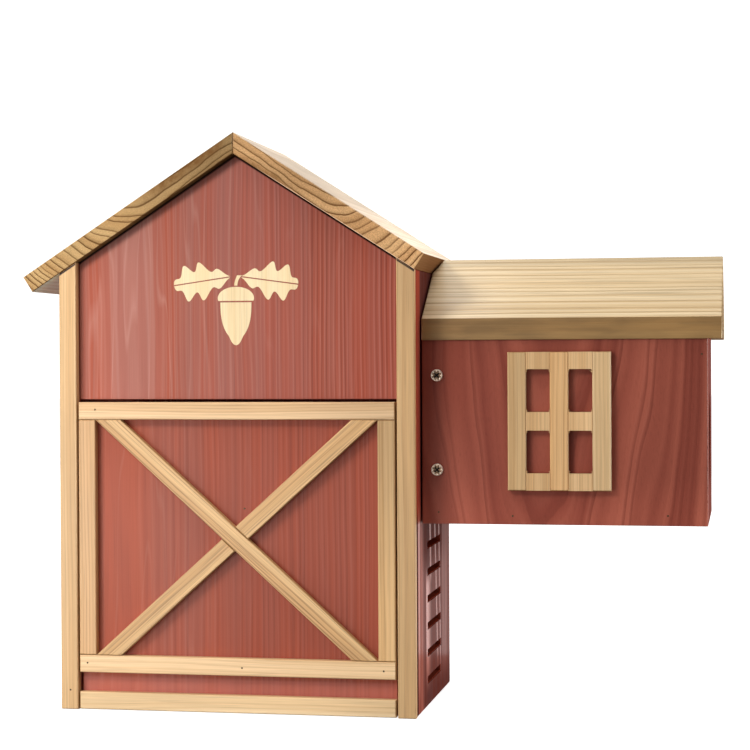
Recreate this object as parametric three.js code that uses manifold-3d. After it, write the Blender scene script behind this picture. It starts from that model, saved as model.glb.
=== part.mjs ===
// Barn-shaped garden shelter for squirrels: a gabled house with a door leaf that swings up,
// and a small gabled annex screwed to its right side.
// Millimetres, +X to the right, +Y away from the viewer, +Z up.
// The origin is at the centre of the main body's base.

import * as THREE from 'three';
import { mergeVertices } from 'three/addons/utils/BufferGeometryUtils.js';
import Module from 'manifold-3d';

// Fits and finish
const JOINT_GAP = 0.3;
const EDGE_EASE = 0.6;
const CUT_OVERRUN = 2;

// Main body
const BODY_WIDTH = 285;
const BODY_DEPTH = 176;
const EAVE_HEIGHT = 345;
const ROOF_RISE = 91.7;
const WALL_BOARD = 14;
const BACK_BOARD = 14;
const FLOOR_BOARD = 14;
const GABLE_BOARD = 12;
const FRONT_STRIP = 7;

// Main roof
const ROOF_BOARD = 14;
const LEFT_OVERHANG = 22.3;
const RIGHT_OVERHANG = 0;

// Door leaf
const DOOR_HEIGHT = 242.6;
const DOOR_FOOT_GAP = 0.5;
const DOOR_TOP_GAP = 1.8;
const DOOR_SIDE_GAP = 1.5;
const DOOR_BOARD = 12;
const DOOR_STRIP_WIDTH = 13.6;
const LOWER_RAIL_FOOT = 29.1;

// Door pivot
const PIN_RADIUS = 2;
const PIN_GRIP = 10;
const PIN_SETBACK = 4.5;
const SWING_CLEARANCE = 0.4;

// Slots in the right wall
const SLOT_COUNT = 6;
const SLOT_HEIGHT = 4.8;
const SLOT_LENGTH = 67.7;
const SLOT_SPACING = 21.5;
const SLOT_FOOT = 18.1;
const SLOT_SETBACK = 58.7;

// Annex
const ANNEX_GAP = 1.5;
const ANNEX_LENGTH = 219.5;
const ANNEX_SETBACK = 25;
const ANNEX_REAR_INSET = 4;
const ANNEX_FOOT = 148;
const ANNEX_SIDE_HEIGHT = 143.2;
const ANNEX_RISE = 48.3;
const ANNEX_BOARD = 14;
const ANNEX_ROOF_BOARD = 14;
const ANNEX_EAVE_OVERHANG = 1;
const ANNEX_END_OVERHANG = 10.8;

// Round openings from the annex's end to the house
const DOORWAY_RADIUS = 37.5;
const DOORWAY_HEIGHT = 62;
const ROUND_STEPS = 40;

// Cleats and screws that carry the annex
const CLEAT_WIDTH = 25;
const CLEAT_BOARD = 14;
const SCREW_SETOFF = 13.5;
const SCREW_HEIGHT = 42;
const SCREW_SPACING = 73.3;
const SCREW_RADIUS = 2;
const SCREW_BITE = 10;
const SCREW_HEAD_RADIUS = 4.7;
const SCREW_HEAD_HEIGHT = 2.6;
const SCREW_STEPS = 24;
const CROSS_REACH_SHARE = 0.55;
const CROSS_WIDTH_SHARE = 0.11;
const CROSS_DEPTH_SHARE = 0.35;

// Window trim on the annex
const WINDOW_WIDTH = 79.2;
const WINDOW_HEIGHT = 106.4;
const WINDOW_STRIP_WIDTH = 14.2;
const WINDOW_RAIL_WIDTH = 13.2;
const WINDOW_STRIP = 5;
const WINDOW_SETOFF = 67.6;
const WINDOW_FOOT = 26.6;
const PANE_CORNER = 1.3;
const PANE_STEPS = 5;

// Places that follow from the sizes above
const half = BODY_WIDTH / 2;
const front = -BODY_DEPTH / 2;
const back = BODY_DEPTH / 2;
const boardFront = front + FRONT_STRIP + JOINT_GAP;
const innerHalf = half - WALL_BOARD;
const pitch = Math.atan2(ROOF_RISE, half);
const seatDrop = JOINT_GAP / Math.cos(pitch);
const doorTop = DOOR_FOOT_GAP + DOOR_HEIGHT;
const doorStop = boardFront + DOOR_BOARD + JOINT_GAP;
const annexDepth = BODY_DEPTH - ANNEX_SETBACK - ANNEX_REAR_INSET;
const annexPitch = Math.atan2(ANNEX_RISE, annexDepth / 2);
const annexSeatDrop = JOINT_GAP / Math.cos(annexPitch);
const annexInnerHalf = annexDepth / 2 - ANNEX_BOARD;

// The pivot lies low enough for the top rail's front corner to pass under the gable board
const swingRoom = DOOR_TOP_GAP - SWING_CLEARANCE;
const pivotReach = FRONT_STRIP + JOINT_GAP + PIN_SETBACK;
const pivotDrop = (pivotReach ** 2 - swingRoom ** 2) / (2 * swingRoom);
const pivot = new THREE.Vector3(0, boardFront + PIN_SETBACK, doorTop - pivotDrop);

const NATURAL_WOOD = 0xe4bf8f;
const PALE_WOOD = 0xe0c59d;
const ROOF_WOOD = 0xb48a5c;
const RED_STAIN = 0x9c4c41;
const INNER_WOOD = 0xd2ae80;
const STEEL = 0xb9ab8c;

const wasm = await Module();
wasm.setup();

function woodFinish(color) {
  return new THREE.MeshStandardMaterial({ color, roughness: 0.6, metalness: 0 });
}

function metalFinish(color) {
  return new THREE.MeshStandardMaterial({ color, roughness: 0.35, metalness: 0.9 });
}

function piece(name, geometry, material) {
  const mesh = new THREE.Mesh(geometry, material);
  mesh.name = name;
  return mesh;
}

// Height of the main roof's underside above a place across the house
function roofUnderside(x) {
  return EAVE_HEIGHT + ROOF_RISE * (1 - Math.abs(x) / half);
}

// Height of the annex roof's underside, from the annex's foot, beside its middle line
function annexUnderside(y) {
  return ANNEX_SIDE_HEIGHT + ANNEX_RISE * (1 - Math.abs(y) / (annexDepth / 2));
}

function outline(points) {
  return new THREE.Shape(points.map(([u, v]) => new THREE.Vector2(u, v)));
}

function rectangle(left, right, low, high) {
  return outline([[left, low], [right, low], [right, high], [left, high]]);
}

function rectangularHole(left, right, low, high) {
  return new THREE.Path(rectangle(left, right, low, high).getPoints().reverse());
}

function roundHole(u, v, radius) {
  const path = new THREE.Path();
  path.absarc(u, v, radius, 0, Math.PI * 2, true);
  return path;
}

// A board of one thickness, with its two faces' edges eased
function slab(shape, thickness, ease = EDGE_EASE) {
  const geometry = new THREE.ExtrudeGeometry(shape, {
    depth: thickness - 2 * ease,
    bevelEnabled: true,
    bevelSegments: 1,
    bevelSize: ease,
    bevelThickness: ease,
    bevelOffset: -ease,
    curveSegments: ROUND_STEPS,
  });
  geometry.translate(0, 0, ease);
  return geometry;
}

// A board that faces the viewer: drawn in X and Z, its front face at Y = 0
function frontBoard(shape, thickness, ease) {
  const geometry = slab(shape, thickness, ease);
  geometry.rotateX(Math.PI / 2);
  geometry.translate(0, thickness, 0);
  return geometry;
}

// A board that faces sideways: drawn in Y and Z, running from X = 0 to the right
function sideBoard(shape, thickness, ease) {
  const geometry = slab(shape, thickness, ease);
  const turn = new THREE.Matrix4().makeBasis(
    new THREE.Vector3(0, 1, 0),
    new THREE.Vector3(0, 0, 1),
    new THREE.Vector3(1, 0, 0),
  );
  geometry.applyMatrix4(turn);
  return geometry;
}

// A round bar along X or Y, from zero to its length
function bar(radius, length, steps, axis) {
  const geometry = new THREE.CylinderGeometry(radius, radius, length, steps);
  geometry.translate(0, length / 2, 0);
  if (axis === 'x') {
    geometry.rotateZ(-Math.PI / 2);
  }
  return geometry;
}

function toSolid(geometry) {
  const bare = geometry.clone();
  bare.deleteAttribute('normal');
  bare.deleteAttribute('uv');
  const merged = mergeVertices(bare);
  return new wasm.Manifold(new wasm.Mesh({
    numProp: 3,
    vertProperties: merged.attributes.position.array,
    triVerts: Uint32Array.from(merged.index.array),
  }));
}

function toGeometry(body) {
  const mesh = body.getMesh();
  const geometry = new THREE.BufferGeometry();
  geometry.setAttribute('position', new THREE.BufferAttribute(mesh.vertProperties, 3));
  geometry.setIndex(new THREE.BufferAttribute(mesh.triVerts, 1));
  geometry.computeVertexNormals();
  return geometry;
}

function cut(geometry, cutters) {
  let body = toSolid(geometry);
  for (const cutter of cutters) {
    body = body.subtract(toSolid(cutter));
  }
  return toGeometry(body);
}

// Everything above the main roof's underside, to trim what stands under it
function aboveRoof() {
  const reach = BODY_WIDTH;
  const top = EAVE_HEIGHT + ROOF_RISE + reach;
  const shape = outline([
    [-reach, roofUnderside(reach) - seatDrop],
    [0, roofUnderside(0) - seatDrop],
    [reach, roofUnderside(reach) - seatDrop],
    [reach, top],
    [-reach, top],
  ]);
  const geometry = frontBoard(shape, 2 * BODY_DEPTH, 0);
  geometry.translate(0, 2 * front, 0);
  return geometry;
}

// Half of a gable outline or the whole of it, from a foot up to the roof
function gableOutline(left, right, foot) {
  const points = [[left, foot], [right, foot], [right, roofUnderside(right) - seatDrop]];
  if (left < 0 && right > 0) {
    points.push([0, roofUnderside(0) - seatDrop]);
  }
  points.push([left, roofUnderside(left) - seatDrop]);
  return outline(points);
}

// Pin bore, blind, from the wall's inner face
function pinBore(x) {
  const bore = bar(PIN_RADIUS + JOINT_GAP, PIN_GRIP + JOINT_GAP + CUT_OVERRUN, SCREW_STEPS, 'x');
  bore.translate(x, pivot.y, pivot.z);
  return bore;
}

function sideWallOutline() {
  return rectangle(boardFront, back, 0, EAVE_HEIGHT + ROOF_RISE);
}

function leftWall() {
  const geometry = sideBoard(sideWallOutline(), WALL_BOARD);
  geometry.translate(-half, 0, 0);
  const bore = pinBore(-innerHalf - PIN_GRIP - JOINT_GAP);
  return piece('left_wall', cut(geometry, [aboveRoof(), bore]), woodFinish(RED_STAIN));
}

function rightWall() {
  const shape = sideWallOutline();
  const slotFront = front + SLOT_SETBACK;
  for (let slot = 0; slot < SLOT_COUNT; slot += 1) {
    const low = SLOT_FOOT + slot * SLOT_SPACING;
    shape.holes.push(rectangularHole(slotFront, slotFront + SLOT_LENGTH, low, low + SLOT_HEIGHT));
  }
  const annexMiddle = front + ANNEX_SETBACK + annexDepth / 2;
  shape.holes.push(roundHole(annexMiddle, ANNEX_FOOT + DOORWAY_HEIGHT, DOORWAY_RADIUS));
  const geometry = sideBoard(shape, WALL_BOARD);
  geometry.translate(innerHalf, 0, 0);
  const bore = pinBore(innerHalf - CUT_OVERRUN);
  return piece('right_wall', cut(geometry, [aboveRoof(), bore]), woodFinish(RED_STAIN));
}

function backWall() {
  const inner = innerHalf - JOINT_GAP;
  const geometry = frontBoard(gableOutline(-inner, inner, 0), BACK_BOARD);
  const mesh = piece('back_wall', geometry, woodFinish(RED_STAIN));
  mesh.position.y = back - BACK_BOARD;
  return mesh;
}

function floorBoard() {
  const inner = innerHalf - JOINT_GAP;
  const shape = rectangle(-inner, inner, doorStop, back - BACK_BOARD - JOINT_GAP);
  return piece('floor', slab(shape, FLOOR_BOARD), woodFinish(INNER_WOOD));
}

function gableBoard() {
  const inner = innerHalf - JOINT_GAP;
  const geometry = frontBoard(gableOutline(-inner, inner, doorTop + DOOR_TOP_GAP), GABLE_BOARD);
  const mesh = piece('gable_panel', geometry, woodFinish(RED_STAIN));
  mesh.position.y = boardFront;
  return mesh;
}

function cornerTrim(name, left, right) {
  const geometry = frontBoard(gableOutline(left, right, 0), FRONT_STRIP);
  const mesh = piece(name, geometry, woodFinish(NATURAL_WOOD));
  mesh.position.y = front;
  return mesh;
}

// One slope of the main roof, mitred at the ridge and cut square at the eave
function roofSlope(name, side, overhang) {
  const mitre = side * JOINT_GAP / 2;
  const eave = side * (half + overhang);
  const thick = ROOF_BOARD / Math.cos(pitch);
  const geometry = frontBoard(outline([
    [mitre, roofUnderside(mitre)],
    [eave, roofUnderside(eave)],
    [eave + side * ROOF_BOARD * Math.sin(pitch), roofUnderside(eave) + ROOF_BOARD * Math.cos(pitch)],
    [mitre, roofUnderside(mitre) + thick],
  ]), BODY_DEPTH);
  const mesh = piece(name, geometry, woodFinish(ROOF_WOOD));
  mesh.position.y = front;
  return mesh;
}

function mainHouse() {
  const group = new THREE.Group();
  group.add(
    leftWall(),
    rightWall(),
    backWall(),
    floorBoard(),
    gableBoard(),
    cornerTrim('left_corner_trim', -half, -innerHalf),
    cornerTrim('right_corner_trim', innerHalf, half),
    roofSlope('roof_left', -1, LEFT_OVERHANG),
    roofSlope('roof_right', 1, RIGHT_OVERHANG),
  );
  return group;
}

// Where two straight lines cross, each given by two points
function crossing([ax, ay], [bx, by], [cx, cy], [dx, dy]) {
  const along = ((cx - ax) * (dy - cy) - (cy - ay) * (dx - cx))
    / ((bx - ax) * (dy - cy) - (by - ay) * (dx - cx));
  return [ax + along * (bx - ax), ay + along * (by - ay)];
}

// Level length of a brace's end cut, so that the strip keeps its width on the slant
function braceCut(width, height, strip) {
  const square = strip ** 2;
  const spread = height ** 2 - square;
  const root = Math.sqrt(square ** 2 * width ** 2 + spread * square * (height ** 2 + width ** 2));
  return (root - square * width) / spread;
}

function doorStrip(name, shape) {
  const mesh = piece(name, frontBoard(shape, FRONT_STRIP), woodFinish(NATURAL_WOOD));
  mesh.position.y = front - pivot.y;
  mesh.position.z = -pivot.z;
  return mesh;
}

function doorBoard() {
  const side = innerHalf - DOOR_SIDE_GAP;
  const geometry = frontBoard(rectangle(-side, side, DOOR_FOOT_GAP, doorTop), DOOR_BOARD);
  geometry.translate(0, boardFront, 0);
  const bores = [-side - CUT_OVERRUN, side - PIN_GRIP - JOINT_GAP].map(pinBore);
  const mesh = piece('door_panel', cut(geometry, bores), woodFinish(RED_STAIN));
  mesh.position.copy(pivot).negate();
  return mesh;
}

// Rails, stiles and braces on the face of the door
function doorFrame() {
  const side = innerHalf - DOOR_SIDE_GAP;
  const strip = DOOR_STRIP_WIDTH;
  const lowFoot = DOOR_FOOT_GAP + LOWER_RAIL_FOOT;
  const lowHead = lowFoot + strip;
  const highFoot = doorTop - strip;
  const stileFoot = lowHead + JOINT_GAP;
  const stileHead = highFoot - JOINT_GAP;
  const inner = side - strip - JOINT_GAP;
  const level = braceCut(2 * inner, stileHead - stileFoot, strip);
  const longBrace = [
    [-inner, stileHead],
    [inner - level, stileFoot],
    [inner, stileFoot],
    [-inner + level, stileHead],
  ];
  const shift = JOINT_GAP * level / strip;
  const upperEdge = [[-inner + level + shift, stileHead], [inner + shift, stileFoot]];
  const lowerEdge = [[-inner - shift, stileHead], [inner - level - shift, stileFoot]];
  const leftEdge = [[inner - level, stileHead], [-inner, stileFoot]];
  const rightEdge = [[inner, stileHead], [-inner + level, stileFoot]];
  const upperHalf = [
    rightEdge[0],
    leftEdge[0],
    crossing(...leftEdge, ...upperEdge),
    crossing(...rightEdge, ...upperEdge),
  ];
  const lowerHalf = [
    leftEdge[1],
    rightEdge[1],
    crossing(...rightEdge, ...lowerEdge),
    crossing(...leftEdge, ...lowerEdge),
  ];
  return [
    doorStrip('door_top_rail', rectangle(-side, side, highFoot, doorTop)),
    doorStrip('door_lower_rail', rectangle(-side, side, lowFoot, lowHead)),
    doorStrip('door_base_rail', rectangle(-side, side, DOOR_FOOT_GAP, DOOR_FOOT_GAP + strip)),
    doorStrip('door_left_stile', rectangle(-side, strip - side, stileFoot, stileHead)),
    doorStrip('door_right_stile', rectangle(side - strip, side, stileFoot, stileHead)),
    doorStrip('door_brace_long', outline(longBrace)),
    doorStrip('door_brace_upper', outline(upperHalf)),
    doorStrip('door_brace_lower', outline(lowerHalf)),
  ];
}

function doorLeaf() {
  const group = new THREE.Group();
  group.position.copy(pivot);
  group.add(doorBoard(), ...doorFrame());
  return group;
}

// Plain steel pins, one each side, held in the walls and turning in the door
function pivotPins() {
  const length = 2 * PIN_GRIP + DOOR_SIDE_GAP;
  const group = new THREE.Group();
  group.position.copy(pivot);
  for (const [name, start] of [
    ['pivot_pin_left', -innerHalf - PIN_GRIP],
    ['pivot_pin_right', innerHalf + PIN_GRIP - length],
  ]) {
    const mesh = piece(name, bar(PIN_RADIUS, length, SCREW_STEPS, 'x'), metalFinish(STEEL));
    mesh.position.x = start;
    group.add(mesh);
  }
  return group;
}

// Annex pieces are drawn from the annex's left end, middle line and foot

// Places of the screws: which side of the middle line, and how high
function screwPlaces() {
  const places = [];
  for (const side of [-1, 1]) {
    for (const [level, height] of [['lower', SCREW_HEIGHT], ['upper', SCREW_HEIGHT + SCREW_SPACING]]) {
      places.push({ side, level, height });
    }
  }
  return places;
}

const screwX = SCREW_SETOFF - ANNEX_GAP;

function screwBore(place, radius, start, length) {
  const bore = bar(radius, length, SCREW_STEPS, 'y');
  if (place.side < 0) {
    bore.rotateX(Math.PI);
  }
  bore.translate(screwX, place.side * start, place.height);
  return bore;
}

// A long wall of the annex, its top edge bevelled to the roof
function annexLongWall(name, side) {
  const outer = side * annexDepth / 2;
  const inner = side * annexInnerHalf;
  const geometry = sideBoard(outline([
    [outer, 0],
    [inner, 0],
    [inner, annexUnderside(inner) - annexSeatDrop],
    [outer, annexUnderside(outer) - annexSeatDrop],
  ]), ANNEX_LENGTH);
  const bores = screwPlaces().filter((place) => place.side === side).map((place) => screwBore(
    place,
    SCREW_RADIUS + JOINT_GAP,
    annexInnerHalf - CUT_OVERRUN,
    ANNEX_BOARD + 2 * CUT_OVERRUN,
  ));
  return piece(name, cut(geometry, bores), woodFinish(RED_STAIN));
}

// The gabled end with the round doorway
function annexEndWall() {
  const side = annexInnerHalf - JOINT_GAP;
  const shape = outline([
    [-side, 0],
    [side, 0],
    [side, annexUnderside(side) - annexSeatDrop],
    [0, annexUnderside(0) - annexSeatDrop],
    [-side, annexUnderside(side) - annexSeatDrop],
  ]);
  shape.holes.push(roundHole(0, DOORWAY_HEIGHT, DOORWAY_RADIUS));
  const mesh = piece('annex_end_wall', sideBoard(shape, ANNEX_BOARD), woodFinish(RED_STAIN));
  mesh.position.x = ANNEX_LENGTH - ANNEX_BOARD;
  return mesh;
}

function annexFloor() {
  const side = annexInnerHalf - JOINT_GAP;
  const shape = rectangle(0, ANNEX_LENGTH - ANNEX_BOARD - JOINT_GAP, -side, side);
  return piece('annex_floor', slab(shape, ANNEX_BOARD), woodFinish(INNER_WOOD));
}

// The main roof's right eave, grown by the annex gap, which the annex roof is scribed to
function eaveCutter() {
  const reach = 2 * BODY_DEPTH;
  const eave = half + RIGHT_OVERHANG;
  const down = new THREE.Vector2(Math.cos(pitch), -Math.sin(pitch));
  const up = new THREE.Vector2(Math.sin(pitch), Math.cos(pitch));
  const corner = new THREE.Vector2(eave, roofUnderside(eave))
    .addScaledVector(down, ANNEX_GAP)
    .addScaledVector(up, -ANNEX_GAP);
  const top = corner.clone().addScaledVector(up, reach);
  const shape = new THREE.Shape([
    corner,
    top,
    top.clone().addScaledVector(down, -reach),
    corner.clone().addScaledVector(down, -reach),
  ]);
  const geometry = frontBoard(shape, 2 * BODY_DEPTH, 0);
  geometry.translate(-half - ANNEX_GAP, front * 2, -ANNEX_FOOT);
  return geometry;
}

// One slope of the annex roof, with a plumb-cut eave and a mitred ridge
function annexSlope(name, side) {
  const mitre = side * JOINT_GAP / 2;
  const eave = side * (annexDepth / 2 + ANNEX_EAVE_OVERHANG);
  const thick = ANNEX_ROOF_BOARD / Math.cos(annexPitch);
  const geometry = sideBoard(outline([
    [mitre, annexUnderside(mitre)],
    [mitre, annexUnderside(mitre) + thick],
    [eave, annexUnderside(eave) + thick],
    [eave, annexUnderside(eave)],
  ]), ANNEX_LENGTH + ANNEX_END_OVERHANG);
  return piece(name, cut(geometry, [eaveCutter()]), woodFinish(PALE_WOOD));
}

// Upright strip on the house wall that the annex's long walls are screwed to
function annexCleat(name, side) {
  const foot = ANNEX_BOARD + JOINT_GAP;
  const outer = annexInnerHalf - JOINT_GAP;
  const inner = outer - CLEAT_BOARD;
  const geometry = sideBoard(outline([
    [side * outer, foot],
    [side * inner, foot],
    [side * inner, annexUnderside(inner) - annexSeatDrop],
    [side * outer, annexUnderside(outer) - annexSeatDrop],
  ]), CLEAT_WIDTH);
  geometry.translate(JOINT_GAP - ANNEX_GAP, 0, 0);
  const bores = screwPlaces().filter((place) => place.side === side).map((place) => screwBore(
    place,
    SCREW_RADIUS + JOINT_GAP,
    outer - SCREW_BITE - JOINT_GAP,
    SCREW_BITE + JOINT_GAP + CUT_OVERRUN,
  ));
  return piece(name, cut(geometry, [...bores, eaveCutter()]), woodFinish(INNER_WOOD));
}

// Pan-head cross-recess screw, its head's seat at Y = 0 and its point along +Y
function screwGeometry() {
  const length = ANNEX_BOARD + SCREW_BITE;
  const profile = new THREE.Path();
  profile.moveTo(0, -SCREW_HEAD_HEIGHT);
  profile.absellipse(
    0,
    0,
    SCREW_HEAD_RADIUS,
    SCREW_HEAD_HEIGHT,
    -Math.PI / 2,
    0,
    false,
    0,
  );
  profile.lineTo(SCREW_RADIUS, 0);
  profile.lineTo(SCREW_RADIUS, length - 2 * SCREW_RADIUS);
  profile.lineTo(0, length);
  const points = profile.getPoints(SCREW_STEPS / 4);
  const body = new THREE.LatheGeometry(points, SCREW_STEPS);
  const arm = SCREW_HEAD_RADIUS * CROSS_REACH_SHARE;
  const wing = SCREW_HEAD_RADIUS * CROSS_WIDTH_SHARE;
  const cross = outline([
    [-wing, -arm], [wing, -arm], [wing, -wing], [arm, -wing], [arm, wing], [wing, wing],
    [wing, arm], [-wing, arm], [-wing, wing], [-arm, wing], [-arm, -wing], [-wing, -wing],
  ]);
  const recess = frontBoard(cross, SCREW_HEAD_HEIGHT, 0);
  recess.translate(0, -SCREW_HEAD_HEIGHT * (1 + CROSS_DEPTH_SHARE), 0);
  return cut(body, [recess]);
}

function annexScrews() {
  const seat = annexDepth / 2 + JOINT_GAP;
  return screwPlaces().map((place) => {
    const face = place.side < 0 ? 'front' : 'back';
    const mesh = piece(`annex_screw_${face}_${place.level}`, screwGeometry(), metalFinish(STEEL));
    mesh.position.set(screwX, place.side * seat, place.height);
    mesh.rotation.z = place.side < 0 ? 0 : Math.PI;
    return mesh;
  });
}

// A short block between two window strips, its pane corners rounded by the router
function windowRail(name, left, right, low, high, paneBelow, paneAbove) {
  const corner = PANE_CORNER;
  const shape = new THREE.Shape();
  shape.moveTo(left, low);
  if (paneBelow) {
    shape.moveTo(left, low - corner);
    shape.absarc(left + corner, low - corner, corner, Math.PI, Math.PI / 2, true);
    shape.absarc(right - corner, low - corner, corner, Math.PI / 2, 0, true);
  } else {
    shape.lineTo(right, low);
  }
  if (paneAbove) {
    shape.absarc(right - corner, high + corner, corner, 0, -Math.PI / 2, true);
    shape.absarc(left + corner, high + corner, corner, -Math.PI / 2, -Math.PI, true);
  } else {
    shape.lineTo(right, high);
    shape.lineTo(left, high);
  }
  const geometry = new THREE.ExtrudeGeometry(shape, {
    depth: WINDOW_STRIP,
    bevelEnabled: false,
    curveSegments: PANE_STEPS,
  });
  geometry.rotateX(Math.PI / 2);
  geometry.translate(0, WINDOW_STRIP, 0);
  return piece(name, geometry, woodFinish(NATURAL_WOOD));
}

// Three upright strips with short blocks between them
function windowTrim() {
  const group = new THREE.Group();
  const strip = WINDOW_STRIP_WIDTH;
  const pane = (WINDOW_WIDTH - 3 * strip) / 2;
  const stileNames = ['window_left_stile', 'window_mullion', 'window_right_stile'];
  stileNames.forEach((name, index) => {
    const left = index * (strip + pane);
    const geometry = frontBoard(rectangle(left, left + strip, 0, WINDOW_HEIGHT), WINDOW_STRIP);
    group.add(piece(name, geometry, woodFinish(NATURAL_WOOD)));
  });
  const middle = (WINDOW_HEIGHT - strip) / 2;
  const rails = [
    ['lower', 0, WINDOW_RAIL_WIDTH, false, true],
    ['middle', middle, middle + strip, true, true],
    ['upper', WINDOW_HEIGHT - WINDOW_RAIL_WIDTH, WINDOW_HEIGHT, true, false],
  ];
  for (const [column, index] of [['left', 0], ['right', 1]]) {
    const left = strip + index * (strip + pane) + JOINT_GAP;
    const right = left + pane - 2 * JOINT_GAP;
    for (const [row, low, high, below, above] of rails) {
      group.add(windowRail(`window_${row}_rail_${column}`, left, right, low, high, below, above));
    }
  }
  group.position.set(
    WINDOW_SETOFF,
    -annexDepth / 2 - JOINT_GAP - WINDOW_STRIP,
    WINDOW_FOOT,
  );
  return group;
}

function annex() {
  const group = new THREE.Group();
  group.position.set(half + ANNEX_GAP, front + ANNEX_SETBACK + annexDepth / 2, ANNEX_FOOT);
  group.add(
    annexLongWall('annex_front_wall', -1),
    annexLongWall('annex_back_wall', 1),
    annexEndWall(),
    annexFloor(),
    annexSlope('annex_roof_front', -1),
    annexSlope('annex_roof_back', 1),
    annexCleat('annex_cleat_front', -1),
    annexCleat('annex_cleat_back', 1),
    ...annexScrews(),
    windowTrim(),
  );
  return group;
}

const shelter = new THREE.Group();
shelter.add(mainHouse(), doorLeaf(), pivotPins(), annex());

export default shelter;
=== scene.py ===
"""Looks for the squirrel house: woods, screws, brads, floor, lights and camera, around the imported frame."""

import math

import bmesh
import bpy
from mathutils import Matrix, Vector


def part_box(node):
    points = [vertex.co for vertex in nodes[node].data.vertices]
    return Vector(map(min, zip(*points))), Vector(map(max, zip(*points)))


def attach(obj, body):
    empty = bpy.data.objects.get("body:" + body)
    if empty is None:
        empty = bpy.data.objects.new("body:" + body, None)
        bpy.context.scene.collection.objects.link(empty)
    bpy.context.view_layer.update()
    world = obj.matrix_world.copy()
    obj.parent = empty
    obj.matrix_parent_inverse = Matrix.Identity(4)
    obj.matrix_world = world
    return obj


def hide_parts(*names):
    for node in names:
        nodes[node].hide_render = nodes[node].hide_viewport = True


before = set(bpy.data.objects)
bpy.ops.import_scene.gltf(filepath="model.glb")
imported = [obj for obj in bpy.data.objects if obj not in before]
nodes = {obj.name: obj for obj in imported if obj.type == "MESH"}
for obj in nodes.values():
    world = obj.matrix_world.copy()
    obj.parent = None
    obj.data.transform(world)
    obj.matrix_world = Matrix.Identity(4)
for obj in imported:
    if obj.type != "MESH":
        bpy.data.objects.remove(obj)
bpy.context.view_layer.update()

MM = 0.001
X = Vector((1, 0, 0))
Y = Vector((0, 1, 0))
Z = Vector((0, 0, 1))


def srgb(red, green, blue):
    """A colour given as 0 to 255 display values, as the linear colour that shaders take."""
    def linear(value):
        share = value / 255
        return share / 12.92 if share <= 0.04045 else ((share + 0.055) / 1.055) ** 2.4
    return (linear(red), linear(green), linear(blue), 1)


# Materials

class Graph:
    """Builds the node tree of one material."""

    def __init__(self, name):
        self.material = bpy.data.materials.new(name)
        self.material.use_nodes = True
        self.tree = self.material.node_tree
        self.tree.nodes.clear()

    def node(self, kind, feeds=None, **settings):
        made = self.tree.nodes.new(kind)
        for key, value in settings.items():
            setattr(made, key, value)
        for socket, value in (feeds or {}).items():
            if isinstance(value, bpy.types.NodeSocket):
                self.tree.links.new(value, made.inputs[socket])
            else:
                made.inputs[socket].default_value = value
        return made

    def math(self, operation, first, second=0.0, third=0.0, clamp=False):
        feeds = {0: first, 1: second, 2: third}
        return self.node("ShaderNodeMath", feeds, operation=operation, use_clamp=clamp).outputs[0]

    def times(self, first, second):
        return self.math("MULTIPLY", first, second)

    def vector(self, operation, first, second=(0, 0, 0), third=(0, 0, 0)):
        feeds = {0: first, 1: second, 2: third}
        made = self.node("ShaderNodeVectorMath", feeds, operation=operation)
        return made.outputs["Value" if operation in ("LENGTH", "DOT_PRODUCT") else "Vector"]

    def noise(self, place, size, along, seed=0.0, detail=2.0, roughness=0.5, output="Fac"):
        """Noise whose grains are size metres across and along times longer along the grain."""
        fine = 1 / size
        moved = self.vector("MULTIPLY_ADD", place, (fine, fine, fine / along), (seed, seed * 1.7, seed * 2.3))
        feeds = {"Vector": moved, "Scale": 1.0, "Detail": detail, "Roughness": roughness}
        return self.node("ShaderNodeTexNoise", feeds).outputs[output]

    def noise_line(self, value, rate, seed):
        """Noise along one value."""
        feeds = {"W": self.math("MULTIPLY_ADD", value, rate, seed), "Scale": 1.0, "Detail": 1.0}
        return self.node("ShaderNodeTexNoise", feeds, noise_dimensions="1D").outputs["Fac"]

    def grey(self, value):
        return self.node("ShaderNodeCombineColor", {0: value, 1: value, 2: value}).outputs[0]

    def between(self, value, low, high, out_low=0.0, out_high=1.0, smooth=False):
        """Maps a value from one range to another and holds it there."""
        feeds = {"Value": value, "From Min": low, "From Max": high, "To Min": out_low, "To Max": out_high}
        kind = "SMOOTHSTEP" if smooth else "LINEAR"
        return self.node("ShaderNodeMapRange", feeds, interpolation_type=kind).outputs["Result"]

    def ramp(self, value, stops, interpolation="LINEAR"):
        made = self.node("ShaderNodeValToRGB", {"Fac": value})
        ramp = made.color_ramp
        ramp.interpolation = interpolation
        while len(ramp.elements) < len(stops):
            ramp.elements.new(1)
        for element, (place, color) in zip(ramp.elements, stops):
            element.position = place
            element.color = color if isinstance(color, tuple) else (color, color, color, 1)
        return made.outputs["Color"]

    def mix(self, factor, first, second, blend="MIX"):
        feeds = {0: factor, 6: first, 7: second}
        return self.node("ShaderNodeMix", feeds, data_type="RGBA", blend_type=blend).outputs[2]

    def tinted(self, color, tint):
        """One colour times another."""
        return self.mix(1.0, color, tint, "MULTIPLY")

    def finish(self, color, roughness, bump=None, coat=None, **fixed):
        feeds = {"Base Color": color, "Roughness": roughness}
        if bump is not None:
            feeds["Normal"] = bump
        if coat is not None:
            feeds["Coat Weight"] = coat
        shader = self.node("ShaderNodeBsdfPrincipled", feeds)
        for socket, value in fixed.items():
            shader.inputs[socket.replace("_", " ")].default_value = value
        self.node("ShaderNodeOutputMaterial", {"Surface": shader.outputs["BSDF"]})
        return self.material


def board_axes(grain, across):
    """Turns a board's own frame (across, through, along the grain) into the row frame."""
    grain = grain.normalized()
    across = (across - across.dot(grain) * grain).normalized()
    return Matrix((across, grain.cross(across), grain)).transposed()


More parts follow.
